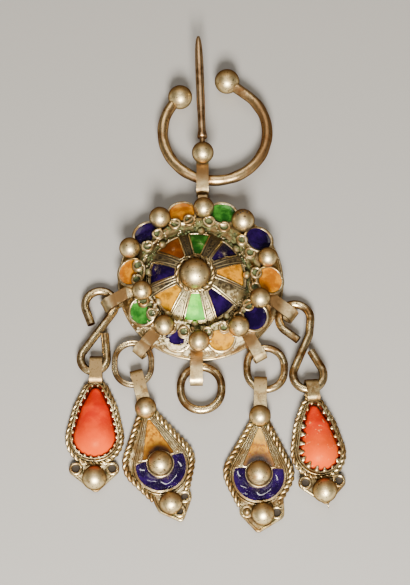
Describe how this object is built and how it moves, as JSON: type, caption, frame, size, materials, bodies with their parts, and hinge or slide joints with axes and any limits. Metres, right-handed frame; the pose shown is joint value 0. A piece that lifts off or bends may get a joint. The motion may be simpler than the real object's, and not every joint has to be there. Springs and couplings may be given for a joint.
{
  "type": "enamelled fibula",
  "caption": "Domed round brooch with cloisonne enamel, long pin, turning penannular ring, and coral and enamel drops on wire links.",
  "frame": {"origin": "middle of the whole part's footprint, on the surface that it lies on", "axes": "+Y to the pin's tip, +X to the right of the head seen from the front, +Z away from the surface"},
  "size_m": [0.0744, 0.1418, 0.0133],
  "materials": {
    "silver": "aged and worn, brown in the hollows",
    "ring_silver": "aged, coppery brown",
    "blue_enamel": "glossy, uneven",
    "green_enamel": "glossy, uneven",
    "light_green_enamel": "glossy, uneven",
    "yellow_enamel": "glossy, mottled",
    "orange_enamel": "glossy, uneven",
    "brown_enamel": "glossy, dark",
    "coral": "polished"
  },
  "bodies": {
    "brooch": {"head": "silver", "petal_green_top": "green_enamel", "petal_blue_top": "blue_enamel", "petal_orange_right": "orange_enamel", "petal_blue_right": "blue_enamel", "petal_orange_bottom": "orange_enamel", "petal_blue_bottom": "blue_enamel", "petal_green_left": "green_enamel", "petal_orange_left": "orange_enamel", "petal_blue_left": "blue_enamel", "petal_orange_top": "orange_enamel", "cell_green_top": "green_enamel", "cell_blue_top": "blue_enamel", "cell_yellow_right": "yellow_enamel", "cell_blue_right": "blue_enamel", "cell_green_bottom": "light_green_enamel", "cell_yellow_left": "yellow_enamel", "cell_blue_left": "blue_enamel", "cell_orange_top": "brown_enamel", "hook_left": "silver", "hook_right": "silver", "jump_ring_left": "silver", "jump_ring_middle": "silver", "jump_ring_right": "silver", "coral_setting_left": "silver", "coral_setting_right": "silver", "coral_left": "coral", "coral_right": "coral", "drop_left": "silver", "drop_right": "silver", "drop_left_yellow": "yellow_enamel", "drop_left_blue": "blue_enamel", "drop_right_yellow": "yellow_enamel", "drop_right_blue": "blue_enamel"},
    "ring": {"ring": "ring_silver"}
  },
  "joints": [
    {"name": "ring_turn", "type": "hinge", "parent": "brooch", "child": "ring", "pos_m": [0.00268, 0.04312, 0.00335], "axis": [0, 0, 1], "range_deg": [-155, 100]}
  ]
}
